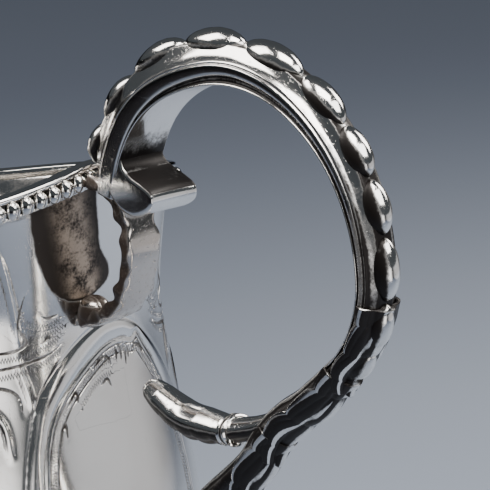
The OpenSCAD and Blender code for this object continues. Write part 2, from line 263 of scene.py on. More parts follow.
def hoop(name, line, slot, node, dark, place=None, count=240):
    """A closed section carried once round the jug's axis."""
    deg = np.linspace(0, 360, count, endpoint=False)
    rings = np.stack([(place or round_points)(deg, a, b) for a, b in line], 1)
    piece(name, rings, slot, node, np.tile(dark, count), along=True)


def handle_ring(place, angle, section):
    """A section across the handle: its first column runs outward, its second along Y."""
    u, v = section[:, 0], section[:, 1]
    return columns(place[0] + u * math.cos(angle), v, place[1] + u * math.sin(angle))


def swept(name, node, path, section_at, slot="handle_silver"):
    """A piece along a path in the handle's plane; outward is to the left of travel."""
    heading = np.gradient(path, axis=0)
    angles = np.unwrap(np.arctan2(heading[:, 1], heading[:, 0])) + math.pi / 2
    sections = np.array([section_at(t) for t in np.linspace(0, 1, len(path))])
    rings = [handle_ring(*ring) for ring in zip(path, angles, sections)]
    piece(name, np.array(rings), slot, node, sections[..., 2])


def outward_faces(obj):
    """Turns a closed mesh's faces outwards by the sign of its volume."""
    mesh = obj.data
    mesh.calc_loop_triangles()
    co = np.empty(len(mesh.vertices) * 3)
    mesh.vertices.foreach_get("co", co)
    tri = np.empty(len(mesh.loop_triangles) * 3, int)
    mesh.loop_triangles.foreach_get("vertices", tri)
    p = co.reshape(-1, 3)[tri.reshape(-1, 3)]
    if np.einsum("ij,ij->i", p[:, 0], np.cross(p[:, 1], p[:, 2])).sum() < 0:
        mesh.flip_normals()


# Finishes -------------------------------------------------

NO_LINE = 9.0  # the distance stored where no engraved line is near


class Wiring:
    """Adds nodes to a tree; each method gives back the sockets that it ends in."""

    def __init__(self, tree):
        self.tree = tree

    def feed(self, socket, value):
        if isinstance(value, bpy.types.NodeSocket):
            self.tree.links.new(value, socket)
        else:
            socket.default_value = value

    def node(self, kind, values=None, **settings):
        made = self.tree.nodes.new("ShaderNode" + kind)
        for key, setting in settings.items():
            setattr(made, key, setting)
        for label, value in (values or {}).items():
            self.feed(made.inputs[label], value)
        return made.outputs

    def math(self, operation, a, b=0.5, clamp=False):
        return self.node("Math", {0: a, 1: b}, operation=operation, use_clamp=clamp)[0]

    def add(self, a, b):
        return self.math("ADD", a, b)

    def minus(self, a, b):
        return self.math("SUBTRACT", a, b)

    def times(self, a, b, clamp=False):
        return self.math("MULTIPLY", a, b, clamp)

    def noise(self, vector, scale, detail=3.0, rough=0.55):
        return self.node("TexNoise", {"Vector": vector, "Scale": scale, "Detail": detail,
                                      "Roughness": rough})["Fac"]

    def ramp(self, value, low, high):
        return self.node("MapRange", {"Value": value, "From Min": low, "From Max": high},
                         interpolation_type="SMOOTHSTEP")["Result"]

    def mix(self, factor, a, b):
        return self.node("Mix", {0: factor, 6: a, 7: b}, data_type="RGBA")[2]

    def stored(self, key):
        return self.node("Attribute", attribute_name=key)["Fac"]

    def group(self, name, make, **values):
        """Places the node group of that name, which is made the first time."""
        tree = bpy.data.node_groups.get(name) or make(name)
        return self.node("Group", values, node_tree=tree)


def new_group(name, inputs, outputs):
    """A node group; a socket is named with its default, or with its kind if no number."""
    tree = bpy.data.node_groups.new(name, "ShaderNodeTree")
    for way, sockets in (("INPUT", inputs), ("OUTPUT", outputs)):
        for label, value in sockets.items():
            kind = value if isinstance(value, str) else "Float"
            socket = tree.interface.new_socket(name=label, in_out=way,
                                               socket_type="NodeSocket" + kind)
            if kind == "Float":
                socket.default_value = value
    nodes = tree.nodes
    return Wiring(tree), nodes.new("NodeGroupInput").outputs, nodes.new("NodeGroupOutput").inputs


def new_material(name):
    material = bpy.data.materials.new(name)
    material.use_nodes = True
    tree = material.node_tree
    return material, Wiring(tree), tree.nodes["Principled BSDF"].inputs


def patina_and_shade_group(name):
    """Brown tarnish that gathers in hollows and fades over the polished high places; the same
    dark tone also paints shade where a piece's darkness values hold painted shade.
    """
    wires, given, made = new_group(
        name, {"Vector": "Vector", "Hollow": 0.0, "Amount": 1.0, "Silver": "Color",
               "Tarnish": "Color", "Polish": 0.07},
        {"Color": "Color", "Roughness": 0.0, "Metallic": 0.0})
    vector, hollow = given["Vector"], given["Hollow"]
    uneven = wires.add(wires.times(wires.noise(vector, 420, 4, 0.6), 0.75),
                       wires.times(wires.noise(vector, 2600, 3, 0.6), 0.45))
    reach = wires.add(wires.times(hollow, given["Amount"]), wires.minus(uneven, 0.6))
    mask = wires.times(wires.ramp(reach, 0.28, 0.86), wires.ramp(hollow, 0.02, 0.3), clamp=True)
    film = wires.times(wires.ramp(wires.noise(vector, 60), 0.45, 0.75), 0.10)
    tone = wires.mix(wires.math("MAXIMUM", mask, film), given["Silver"], given["Tarnish"])
    crust = wires.times(wires.ramp(hollow, 1.0, 1.5), wires.ramp(uneven, 0.42, 0.72))
    wires.feed(made["Color"], wires.mix(crust, tone, (0.60, 0.485, 0.385, 1)))
    rough = wires.add(given["Polish"], wires.times(mask, 0.28))
    smear = wires.times(wires.noise(vector, 150, 4), 0.05)
    wires.feed(made["Roughness"], wires.add(rough, smear))
    wires.feed(made["Metallic"], wires.minus(1.0, wires.times(mask, 0.55)))
    return wires.tree


def handling_group(name):
    """Height of fine polishing marks, pits and the slight ripple of hand-worked silver."""
    wires, given, made = new_group(
        name, {"Vector": "Vector", "Ripple": 1.0, "Pits": 0.2, "Scratches": 0.4},
        {"Height": 0.0})
    vector = given["Vector"]
    ripple = wires.times(wires.noise(vector, 110, 2), given["Ripple"])
    pits = wires.times(wires.ramp(wires.noise(vector, 3200, 2), 0.62, 0.8), given["Pits"])
    height = wires.minus(ripple, pits)
    for turn in (0.4, 1.9):
        place = wires.node("Mapping", {"Vector": vector, "Scale": (90, 3800, 900),
                                       "Rotation": (turn, turn * 0.7, turn * 1.3)})
        line = wires.ramp(wires.noise(place["Vector"], 1.0, 2), 0.68, 0.78)
        height = wires.minus(height, wires.times(line, given["Scratches"]))
    wires.feed(made["Height"], height)
    return wires.tree


def wriggle_group(name):
    """Rouletted zigzag bands and graver cuts from the distances stored on the body."""
    wires, given, made = new_group(
        name, {"Across": NO_LINE, "Along": 0.0, "Cut": NO_LINE, "Pitch": 0.44,
               "Reach": 0.36}, {"Height": 0.0, "Mask": 0.0})
    swing = wires.math("PINGPONG", wires.math("DIVIDE", given["Along"], given["Pitch"]), 0.5)
    line = wires.times(wires.times(wires.minus(swing, 0.25), 4.0), given["Reach"])
    off = wires.math("ABSOLUTE", wires.minus(given["Across"], line))
    inside = wires.math("LESS_THAN", wires.math("ABSOLUTE", given["Across"]), 0.5)
    zigzag = wires.times(wires.minus(1.0, wires.ramp(off, 0.05, 0.19)), inside)
    cut = wires.minus(1.0, wires.ramp(given["Cut"], -0.04, 0.08))
    both = wires.math("MAXIMUM", zigzag, cut, clamp=True)
    wires.feed(made["Mask"], both)
    wires.feed(made["Height"], wires.times(both, -1.0))
    return wires.tree


# What sets each slot's silver apart from a plain polish; bump is in metres.
SILVERS = {
    "polished_body": {"name": "Chased body silver", "polish": 0.10, "ripple": 1.1,
                      "pits": 0.06, "scratches": 0.12, "bump": 0.00005, "engraved": True},
    "rim_silver": {"name": "Beaded rim silver", "polish": 0.06, "pits": 0.3, "amount": 1.15},
    # The handle's near-black dark tone colours its painted shade as well as its tarnish.
    "handle_silver": {"name": "Cast handle silver", "polish": 0.10, "ripple": 2.4,
                      "pits": 0.25, "bump": 0.00005, "patina_and_shade_tone": (0.014, 0.011, 0.010)},
    "as_cast_silver": {"name": "Raw cast silver", "tone": "cast", "polish": 0.16,
                       "ripple": 2.4, "pits": 2.5, "amount": 0.85, "bump": 0.00007,
                       "patina_and_shade_tone": (0.075, 0.056, 0.045)},
    "foot_silver": {"name": "Foot silver", "ripple": 0.8}}


def silver_material(name, tone="silver", amount=1.0, polish=0.05, ripple=0.5, pits=0.15,
                    scratches=0.25, bump=0.00003, engraved=False, patina_and_shade_tone=None):
    """Silver with tarnish in its hollows and painted shade where its pieces store it, handling
    marks, and engraving where it has any.
    """
    look = finish()
    material, wires, shader = new_material(name)
    place = wires.node("TexCoord")["Object"]
    hollow = wires.stored("hollow")
    height = wires.group("Handling marks", handling_group, Vector=place, Ripple=ripple,
                         Pits=pits, Scratches=scratches)["Height"]
    if engraved:
        work = wires.group("Wriggle work", wriggle_group, Cut=wires.stored("cut_off"),
                           Across=wires.stored("wriggle_across"),
                           Along=wires.stored("wriggle_along"))
        height = wires.add(height, wires.times(work["Height"], 3.0))
        hollow = wires.math("MAXIMUM", hollow, wires.times(work["Mask"], 0.75))
    marks = wires.group("Hollow tarnish", patina_and_shade_group, Vector=place, Hollow=hollow,
                        Amount=amount, Silver=(*getattr(look, tone), 1),
                        Tarnish=(*(patina_and_shade_tone or look.patina_and_shade_tone), 1), Polish=polish)
    relief = wires.node("Bump", {"Distance": bump, "Strength": 1.0, "Height": height})
    wires.feed(shader["Normal"], relief["Normal"])
    wires.feed(shader["Base Color"], marks["Color"])
    for label in ("Roughness", "Metallic"):
        wires.feed(shader[label], marks[label])
    return material


# Body -----------------------------------------------------

# The chased cartouche: angle from the handle in degrees, height in millimetres.
CARTOUCHE_OUTER = [
    (-21, 70.7), (-19, 76), (-17.2, 79.4), (-13, 82.6), (-8, 85.3), (-1, 87.8), (6.5, 89.1),
    (13.7, 88.7), (21, 86.7), (28, 83.6), (35, 79.6), (40.5, 75), (44, 69), (45, 62),
    (42, 54), (34, 47), (24, 43.5), (11, 42), (-2, 43.5), (-12, 47), (-19.5, 54), (-22.5, 62)]
CARTOUCHE_INNER = [
    (-16.6, 70.5), (-14.6, 75.6), (-11, 79.2), (-5, 82.4), (1.5, 84.8), (7, 86), (13, 86.2),
    (17.5, 85.6), (20.3, 86.2), (23.2, 84.2), (28, 81), (33, 76.2), (36.2, 70), (37.2, 62),
    (35, 55.5), (29, 49.8), (21, 46.8), (11, 45.5), (1, 46.8), (-7.5, 49.8), (-13.5, 55.5),
    (-17, 62)]
CARTOUCHE_TURNS = (0, 180)
# The wall behind the bracket, where no polishing cloth reaches: angle, height.
SHELTERED = [(-19, 107), (-17.5, 101), (-15, 97.5), (-11.5, 94.4), (-7, 92.8), (-2, 92.6),
             (3, 93), (8.5, 94.6), (8.6, 97), (5, 100.4), (3.6, 104.5), (1, 110),
             (-8, 111), (-16, 110)]
# Swags of wriggle-work beside the cartouche, each mirrored about its middle.
SWAG_MIDDLE = -34
SWAG_BANDS = [
    [(-20.2, 92.6), (-19.4, 91.2), (-15.6, 90.3), (-12.2, 90.1), (-8.8, 90.8)],
    [(-18.9, 89.6), (-15.2, 88.9), (-10.9, 89.1), (-7.4, 89.9)],
    [(-34, 85.8), (-27, 86), (-20, 86.3), (-14.4, 87.1), (-9.2, 88.2)],
    [(-34, 83.4), (-27, 83.6), (-20, 84.2), (-14.1, 85.1), (-9.2, 86.6)]]
SWAG_CUTS = [
    [(-34, 87.2), (-26, 87.0), (-21, 87.4), (-18.8, 88.4), (-21.2, 90.4), (-20.6, 92.4),
     (-19.2, 94.8)],
    [(-34, 84.6), (-27, 84.8), (-20, 85.3), (-12.5, 86.2), (-8.2, 87.5)],
    [(-14.7, 91.7), (-12.6, 91.2), (-9.3, 91.5)],
    [(-13.8, 88.0), (-12.6, 88.6), (-11.6, 88.2)],
    [(-34, 90), (-30, 90.6), (-27.4, 92.6), (-26.4, 95)],
    [(-34, 82), (-27, 82.4), (-22, 81.2), (-20.6, 78.5)]]
SWAG_RIDGES = [
    [(-28, 102.6), (-25.4, 98.9), (-23.2, 94.6), (-21.8, 91), (-21, 87.8)],
    [(-21.4, 86.4), (-20.8, 84.4), (-19.2, 81.8), (-17.8, 79)],
    [(-34, 80), (-30, 79.6), (-26, 77.4), (-24.4, 73)]]
SWAG_PLACES = ((0, 0), (-68, -5.5), (90, -1), (156, -5.5))
# Scrolls and feather strokes inside the top of the cartouche.
SCROLL_BANDS = [[(-6, 80), (-1, 82), (3.5, 83.2), (7, 83.6)],
                [(-4, 78.4), (0.5, 80.6), (4.5, 81.7), (7.4, 81.8)]]
SCROLL_CUTS = [
    [(0.5, 82.8), (4.5, 84.2), (7, 83.9), (8, 82.2)], [(3, 80.6), (5.6, 81.2), (7, 80.0)],
    [(9.4, 85.2), (10.2, 84.4), (10, 83.2)], [(11.2, 85.4), (12.2, 84.4), (12, 83)],
    [(12.8, 85.2), (14, 84), (13.8, 82.2)], [(14.8, 84.8), (15.4, 83.9), (15.2, 83)],
    [(16.6, 83.4), (18.4, 84.4), (20.8, 84), (22.6, 82.6)],
    [(-8.5, 78.6), (-5.4, 80.4), (-4.8, 78.8)], [(-11.6, 74.4), (-9.6, 76.6), (-9.2, 74.6)]]
DEGREE_MM = 0.55  # width of one degree where the ornament is unrolled


def flat_place(points):
    return np.array(points, float) * (DEGREE_MM, 1)


def line_distance(places, line, chunk=60000):
    """Signed distance to a polyline and the length along it, for each place."""
    a, b = line[:-1], line[1:]
    d = b - a
    length = np.maximum(np.linalg.norm(d, axis=1), 1e-9)
    start = np.r_[0, np.cumsum(length)[:-1]]
    far, run = [], []
    for k in range(0, len(places), chunk):
        p = places[k:k + chunk, None] - a[None]
        t = np.clip((p * d).sum(-1) / length ** 2, 0, 1)
        gap = p - t[..., None] * d
        dist = np.hypot(gap[..., 0], gap[..., 1])
        best = dist.argmin(1)
        rows = np.arange(len(best))
        side = np.sign(d[best, 0] * p[rows, best, 1] - d[best, 1] * p[rows, best, 0])
        far.append(dist[rows, best] * np.where(side == 0, 1, side))
        run.append(start[best] + t[rows, best] * length[best])
    return np.concatenate(far), np.concatenate(run)


class Ornament:
    """Gathers relief, cuts and zigzag bands over the body's unrolled surface."""

    def __init__(self, deg, z):
        self.deg, self.z = np.mod(deg.ravel() + 180, 360) - 180, z.ravel()
        self.relief, self.hollow, self.along = np.zeros((3, len(self.z)))
        self.across, self.cut = np.full((2, len(self.z)), NO_LINE)

    def near(self, line, margin=3.0):
        """The places near a line, with angles taken the short way round."""
        low, high = line.min(0), line.max(0)
        middle = (low[0] + high[0]) / 2
        deg = np.mod(self.deg - middle + 180, 360) - 180 + middle
        reach = margin / DEGREE_MM
        take = ((deg > low[0] - reach) & (deg < high[0] + reach)
                & (self.z > low[1] - margin) & (self.z < high[1] + margin))
        return np.flatnonzero(take), flat_place(columns(deg[take], self.z[take]))

    def strokes(self, points, turn, lift, middle):
        """What a stroke and its mirror image reach, how far off it is, and where along it."""
        line = smooth_path(points)
        lines = [line]
        if middle is not None:
            lines.append(columns(2 * middle - line[:, 0], line[:, 1]))
        for line in lines:
            line = line + np.array([turn, lift])
            take, places = self.near(line)
            flat = flat_place(line)
            total = np.linalg.norm(np.diff(flat, axis=0), axis=1).sum()
            far, run = line_distance(places, flat)
            yield take, far, run, run / total

    def roll_in(self, take, off, run):
        closer = np.abs(off) < np.abs(self.across[take])
        self.across[take[closer]] = off[closer]
        self.along[take[closer]] = run[closer]

    def cut_in(self, take, off):
        self.cut[take] = np.minimum(self.cut[take], off)

    def darken(self, take, dark):
        self.hollow[take] = np.maximum(self.hollow[take], dark)

    def band(self, points, turn=0, lift=0, middle=None):
        for take, far, run, _ in self.strokes(points, turn, lift, middle):
            self.roll_in(take, far, run)

    def graver(self, points, turn=0, lift=0, middle=None):
        for take, far, _, share in self.strokes(points, turn, lift, middle):
            swell = 0.20 * np.sin(np.pi * np.clip(share, 0, 1)) ** 0.7
            self.cut_in(take, np.abs(far) - swell)
            self.relief[take] -= 0.02 * bell(far, 0.4)

    def ridge(self, points, turn=0, lift=0, middle=None):
        for take, far, _, share in self.strokes(points, turn, lift, middle):
            fade = np.sin(np.pi * np.clip(share, 0.02, 0.98)) ** 0.5
            self.relief[take] += 0.24 * bell(far, 0.5) * fade
            self.darken(take, 0.75 * bell(np.abs(far) - 0.72, 0.22) * fade)

    def cartouche(self, turn):
        outer, inner = closed_line(CARTOUCHE_OUTER, turn), closed_line(CARTOUCHE_INNER, turn)
        take, places = self.near(outer, 4.0)
        in_outer = -line_distance(places, flat_place(outer))[0]
        off, run = line_distance(places, flat_place(inner))
        in_inner = -off
        k = np.clip(in_outer / np.maximum(in_outer - in_inner, 0.3), 0, 1)
        crown = np.sin(np.pi * k ** 0.85) * 0.20
        lip = 0.05 * bell(in_inner - 0.55, 0.5)
        steps = 0.10 * bell(in_inner, 0.22) + 0.05 * bell(in_outer, 0.3)
        self.relief[take] += crown + lip - steps
        self.darken(take, np.maximum(0.6 * bell(in_inner, 0.30), 0.25 * bell(in_outer, 0.35)))
        inside = in_inner > 0.5
        take, run, depth = take[inside], run[inside], in_inner[inside]
        self.roll_in(take, depth - 1.45, run)
        self.cut_in(take, np.minimum(np.abs(depth - 0.85), np.abs(depth - 2.05)) - 0.12)


def chase(deg, z):
    """All the ornament on the body, and the tarnish behind the bracket."""
    work = Ornament(deg, z)
    bounds = closed_line(SHELTERED)
    take, places = work.near(bounds)
    inside = line_distance(places, flat_place(bounds))[0]
    pale = 0.22 * bell(work.deg[take] + 3.5 + 0.5 * (work.z[take] - 100), 5.5)
    work.darken(take, (0.97 + 2.8 * pale) * ease((inside + 0.2) / 1.1))
    for turn in CARTOUCHE_TURNS:
        work.cartouche(turn)
        for points in SCROLL_BANDS:
            work.band(points, turn)
        for points in SCROLL_CUTS:
            work.graver(points, turn)
    for turn, lift in SWAG_PLACES:
        for tool, table in ((work.band, SWAG_BANDS), (work.graver, SWAG_CUTS),
                            (work.ridge, SWAG_RIDGES)):
            for points in table:
                tool(points, turn, lift, SWAG_MIDDLE)
    return work


class JUG_OT_body(bpy.types.Operator):
    """Raise the body with its spout, chase the cartouche and cut the wriggle-work"""

    bl_idname = "jug.body"
    bl_label = "Body"

    def execute(self, context):
        s = sizes()
        deg = np.linspace(0, 360, s.columns, endpoint=False)
        bottom, top = BODY_LOW[2], rim_z(deg)
        bowl_rows, wall_rows, inner_rows = 46, 250, 60
        bowl = 1 - np.cos(np.linspace(0, np.pi / 2, bowl_rows)[1:])
        above = s.belly_z + 0.25
        z = np.vstack([(bottom + (s.belly_z - bottom) * bowl)[:, None] + 0 * deg,
                       above + (top - above) * np.linspace(0, 1, wall_rows)[:, None]])
        work = chase(np.broadcast_to(deg, z.shape), z)
        relief = work.relief.reshape(z.shape) * ease((top - z) / 4.2)
        outer = round_points(deg, body_r(deg, z) + relief, z)
        inner_z = top + (bottom + s.wall - top) * np.linspace(0, 1, inner_rows)[:, None]
        inner_r = body_r(deg, np.maximum(inner_z, bottom + 0.05)) - s.wall
        inner = round_points(deg, np.maximum(inner_r, 0.3), inner_z)
        seat = round_points(deg, 0.3, bottom)[None]
        floor = round_points(deg, 0.2, bottom + s.wall)[None]

        def padded(values, under, inside):
            """The outer wall's values, and one value each for the seat and the inside."""
            return np.vstack([np.full_like(deg, under)[None], values.reshape(z.shape),
                              np.full((len(inner) + 1, len(deg)), inside)])

        hollow = np.maximum(work.hollow.reshape(z.shape), 0.55 * bell(top - z - 2.9, 0.8))
        piece("body_silver", np.vstack([seat, outer, inner, floor]), "polished_body",
              "body_shell", padded(hollow, 0, 0.38),
              wriggle_across=padded(work.across, NO_LINE, NO_LINE),
              wriggle_along=padded(work.along, 0, 0),
              cut_off=padded(work.cut, NO_LINE, NO_LINE))
        return {"FINISHED"}


class JUG_OT_rim(bpy.types.Operator):
    """Lay the lip, the bead wire and the fillet wire along the rim"""

    bl_idname = "jug.rim"
    bl_label = "Rim border"

    def execute(self, context):
        s = sizes()
        lip_w, top, around = 0.95, s.bead_d, 480
        lip = smooth_path([
            (-s.wall - 0.2, 0.05), (0.6, 0.1), (lip_w - 0.35, 0.05), (lip_w - 0.08, -0.2),
            (lip_w, -0.55), (lip_w - 0.12, -0.85), (lip_w - 0.45, -1.0), (0.2, -1.0),
            (-s.wall, -0.95), (-s.wall - 0.2, -0.7)], 3, closed=True)
        hoop("rim_lip_edge", lip, "rim_silver", "rim_lip",
             0.9 * (lip[:, 1] > 0) * (lip[:, 0] > 0.2), wall_points, around)
        fillet = smooth_path([
            (-0.1, top + 0.8), (0.45, top + 0.8), (0.85, top + 0.55), (0.9, top + 0.3),
            (0.6, top + 0.02), (-0.1, top)], 3, closed=True)
        drop = fillet[:, 1] - top
        hoop("rim_fillet", fillet, "rim_silver", "rim_fillet_wire",
             0.8 * bell(drop, 0.22) + 0.5 * bell(drop - 0.8, 0.2), wall_points, around)
        self.beads()
        return {"FINISHED"}

    def beads(self):
        bead, gap = sizes().bead_d, 0.12
        fine = np.linspace(0, 360, 2881)
        line = wall_points(fine, bead / 2 - gap, bead / 2)
        run = np.r_[0, np.cumsum(np.linalg.norm(np.diff(line, axis=0), axis=1))]
        count = int(run[-1] // (bead + gap))
        at = np.interp((np.arange(count) + 0.5) * run[-1] / count, run, fine)
        bead_field("rim_bead_row", wall_points(at, bead / 2 + 0.05, bead / 2 + 0.15),
                   bead * 1.06, "rim_silver", "rim_beads", 1.28)


def bead_field(name, centres, diameter, slot, node, tall=1.0):
    """Round beads of hand-rolled wire, each a little uneven, dark towards the wall."""
    rng = np.random.default_rng(7)
    polar, turn = np.linspace(0, np.pi, 13)[:, None], full_turn(22)
    ball = columns(np.sin(polar) * np.cos(turn), np.sin(polar) * np.sin(turn), np.cos(polar))
    shape, ball = ball.shape[:2], ball.reshape(-1, 3)
    points, faces = [], []
    for n, c in enumerate(centres):
        out = np.array([c[0], c[1], 0]) / math.hypot(c[0], c[1])
        axes = np.array([out, [-out[1], out[0], 0], [0, 0, tall]])
        share = rng.uniform(0.95, 1.0, 3) * diameter / 2
        points.append(c + ball @ (share[:, None] * axes))
        faces += grid_faces(*shape, caps=False, start=n * len(ball))
    dark = np.clip(0.55 * (0.25 - ball[:, 0]) + 0.9 * (np.abs(ball[:, 1]) - 0.62)
                   + 0.7 * (np.abs(ball[:, 2]) - 0.72), 0, 1)
    mesh_piece(name, np.vstack(points), faces, slot, node,
               hollow=np.tile(dark, len(centres)))


# Handle ---------------------------------------------------

ROOT_ANGLE, TAIL_ANGLE = 174, -38
LOBE_ANGLES = (171, 158, 141, 118, 94, 70, 50, 33, 16, -4, -21, -36)


def loop_place(deg, r):
    """A place at that radius from the loop's centre; the tail end tucks in."""
    s = sizes()
    a = np.radians(deg)
    r = r - 2.3 * np.clip(-np.asarray(deg) / 38, 0, 1) ** 1.5
    return columns(s.root_x + s.loop_r + r * np.cos(a), s.loop_z + r * np.sin(a))


def strap_inset(deg):
    """How far the inner face moves out where the loop comes down to the roll."""
    return 1.5 * float(ease((deg - 108) / 45))


def strap_depth(deg):
    whole = float(np.interp(deg, [-38, 0, 100, 166, 177], [2.2, 3.0, 5.2, 9.0, 4.8]))
    return whole - strap_inset(deg)


def strap_width(deg):
    s = sizes()
    return s.strap_w_side + (s.strap_w_root - s.strap_w_side) * min(1, max(0, deg / 160))


def loop_ring(deg, section):
    """A section across the loop, measured outward from its inner face."""
    place = loop_place(deg, sizes().loop_r + strap_inset(deg))
    return handle_ring(place, math.radians(deg), section)


# Along the loop, in millimetres from its inner face: angle, end of the inner edge, of the
# grainy groove and of the polished band.
STRAP_BANDS = [(-38, 0.22, 0.5, 1.15), (0, 0.25, 0.65, 1.5), (50, 0.3, 1.0, 2.1),
               (94, 0.3, 1.45, 2.85), (125, 0.3, 1.0, 2.9), (150, 0.2, 0.4, 3.1),
               (177, 0.15, 0.25, 3.1)]


def between(start, end, rows):
    """Rows whose first number is a share of the way from start to end."""
    return [(start + share * (end - start), *rest) for share, *rest in rows]


def strap_section(deg):
    """Depth, width, and tarnish with painted shade round the strap at one angle, and where its
    groove is.
    """
    table = np.array(STRAP_BANDS)
    lip, groove, band = (np.interp(deg, table[:, 0], table[:, k]) for k in (1, 2, 3))
    depth = strap_depth(deg)
    side = smooth_path([
        (0.0, 0.0, 0.12), (-0.02, 0.4, 0.1), (0.0, 0.72, 0.1), (0.0, 0.9, 0.25),
        (0.35 * lip, 0.975, 0.0), (lip, 0.97, 0.2),
        *between(lip, groove, [(0.12, 0.90, 1.0), (0.35, 0.865, 1.0), (0.55, 0.90, 0.75),
                               (0.8, 0.87, 1.0)]),
        (groove, 0.955, 0.2), (groove + 0.1, 0.985, 0.0), (groove + 0.22, 1.0, 0.0),
        *between(groove, band, [(0.35, 1.012, 0.0), (0.65, 1.012, 0.0)]),
        (band - 0.2, 1.0, 0.0), (band - 0.08, 0.98, 0.0), (band + 0.02, 0.93, 0.5),
        (band + 0.12, 0.915, 0.6), (band + 0.25, 0.925, 0.0), (band + 0.38, 0.905, 0.2),
        (band + 0.5, 0.86, 0.45),
        *between(band + 0.45, depth, [(0.2, 0.73, 0.1), (0.4, 0.63, 0.0), (0.6, 0.55, 0.0),
                                      (0.8, 0.48, 0.1), (0.93, 0.43, 0.5), (1, 0.38, 1.0)]),
        (depth + 0.02, 0.28, 0.9), (depth + 0.02, 0.0, 0.4)], 3)
    whole = np.vstack([side, side[-2:0:-1] * np.array([1, -1, 1])])
    milled = bell(whole[:, 0] - lip - 0.55 * (groove - lip), 0.2 * (groove - lip))
    return whole * np.array([1, strap_width(deg) / 2, 1]), milled


class JUG_OT_strap(bpy.types.Operator):
    """Cast the loop with its side bands, ridge and hollow, and the roll that ends it"""

    bl_idname = "jug.strap"
    bl_label = "Handle loop"

    def execute(self, context):
        rings, dark = [], []
        for k, deg in enumerate(np.linspace(ROOT_ANGLE, TAIL_ANGLE, 520)):
            section, milled = strap_section(deg)
            section[:, 1] += np.sign(section[:, 1]) * 0.12 * milled * math.sin(k * 1.9)
            rings.append(loop_ring(deg, section))
            # Painted shade: darker towards the tail end, on the loop's lower side, and on its
            # inner face where it comes down to the roll.
            fade = np.interp(deg, [-38, 0, 40, 150, 165], [1.5, 1.3, 0.9, 0.95, 1.0])
            painted_low_side_shade = np.interp(deg, [-38, 10, 55], [0.8, 0.6, 0]) * (section[:, 0] > 0.3)
            painted_roll_shade = 0.95 * np.interp(deg, [146, 160], [0, 1]) * (section[:, 0] < 0.05)
            dark.append(np.maximum(section[:, 2] * fade + painted_low_side_shade, painted_roll_shade))
        piece("handle_loop", np.array(rings), "handle_silver", "handle_strap",
              np.clip(dark, 0, 1))
        self.roll()
        return {"FINISHED"}

    def roll(self):
        low, high = cad_mm("handle_roll")
        line = smooth_path([
            (1.7, 6.2), (1.5, 4.5), (2.1, 3.3), (3.6, 2.5), (6.0, 1.75), (7.7, 1.05),
            (8.2, 0.1), (7.9, -1.1), (6.4, -2.2), (4.3, -2.9), (1.9, -2.5), (-0.2, -1.0),
            (-1.2, 1.0), (-1.3, 3.6), (-0.7, 6.2)], 7, closed=True)
        x, z = line.T
        heading = np.roll(line, -1, 0) - np.roll(line, 1, 0)
        heading /= np.linalg.norm(heading, axis=1)[:, None]
        inward = columns(heading[:, 1], -heading[:, 0])
        ends = [(1.0, 0.62), (0.999, 0.5), (0.992, 0.36), (0.975, 0.2), (0.95, 0.06),
                (0.92, 0.0)]
        rows = ends + [(v, 0.0) for v in np.linspace(0.86, -0.86, 22)]
        rows += [(-v, gap) for v, gap in reversed(ends)]
        rings, dark = [], []
        dish = np.outer(np.clip((x - 4) / 5, 0, 1), (0.55, 0.12))
        half = (high[1] + 0.06) * (1 - 0.06 * np.clip((z - 2.2) / 1.5, 0, 1))
        grain = bell(x - 2.0, 1.4) * (z > 2.6)
        # Painted shade on the roll's underside.
        painted_under_shade = 0.35 * (z < -2.2) * (x < 4)
        for v, gap in rows:
            p = line + inward * gap - (1 - v * v) * dish
            rings.append(columns(low[0] + p[:, 0], v * half, (low[2] + high[2]) / 2 + p[:, 1]))
            # Painted shade over the top of the roll's curve, its end faces left out; the grain
            # above is the cast metal's own.
            top = 0.95 * (z > 0.8) * (x > 3.0) * (abs(v) < 0.97)
            dark.append(np.clip(grain * (abs(v) < 0.95) + top + painted_under_shade, 0, 1))
        piece("handle_roll_end", np.array(rings), "handle_silver", "handle_roll", dark)


class JUG_OT_lobes(bpy.types.Operator):
    """Set the row of graduated oval lobes along the loop's spine"""

    bl_idname = "jug.lobes"
    bl_label = "Spine lobes"

    def execute(self, context):
        lobe_h = sizes().lobe_h
        rows, cols = 30, 26
        b = full_turn(cols)
        rings, faces, dark = [], [], []
        for first, last in zip(LOBE_ANGLES, LOBE_ANGLES[1:]):
            faces += grid_faces(rows, cols, start=len(rings) * cols)
            for t in np.linspace(-1, 1, rows):
                fat = max(0.01, 1 - abs(t) ** 2.1) ** 0.55
                deg = (first + last) / 2 - t * (first - last) / 2 * 0.97
                width = strap_width(deg) * 0.31 * fat
                lean = 0.12 * lobe_h * math.sin(3.0 * t)
                height = lobe_h * fat + lean * 0.4
                u = strap_depth(deg) - 0.15 + np.maximum(np.cos(b), -0.35) * height
                v = np.sin(b) * width * (1 - 0.12 * (np.cos(b) > 0) * np.cos(b))
                rings.append(loop_ring(deg, columns(u, v)))
                # Painted shade: each lobe is dark over its flanks and ends with its crest left
                # bright, and the lobes low on the loop's right-hand side are dark almost to the
                # crest.
                side = np.interp(deg, [40, 90], [1, 0])
                painted_flank_shade = (1.3 + 1.9 * side) * (0.38 + 0.58 * side - np.cos(b))
                dark.append(np.clip(painted_flank_shade + 4.0 * max(0, abs(t) - 0.78), 0, 1))
        mesh_piece("spine_lobe_row", np.vstack(rings), faces, "handle_silver",
                   "spine_lobes", hollow=dark)
        return {"FINISHED"}


def tail_place():
    return loop_place(TAIL_ANGLE, sizes().loop_r + 1.5)


def stem_route():
    tail = tail_place()
    foot = np.array([body_r(0, 57.0) + 3.4, 60.0])
    knee = tail + [-17.2, -16]
    return even_path(smooth_path([
        tail + [1.5, 2.5], tail + [-5, -4.2], tail + [-10, -7.8], tail + [-13.8, -11.4], knee,
        knee + 0.3 * (foot - knee) + [0.4, -0.8], knee + 0.68 * (foot - knee) + [0.6, -1.6],
        foot]), 130)


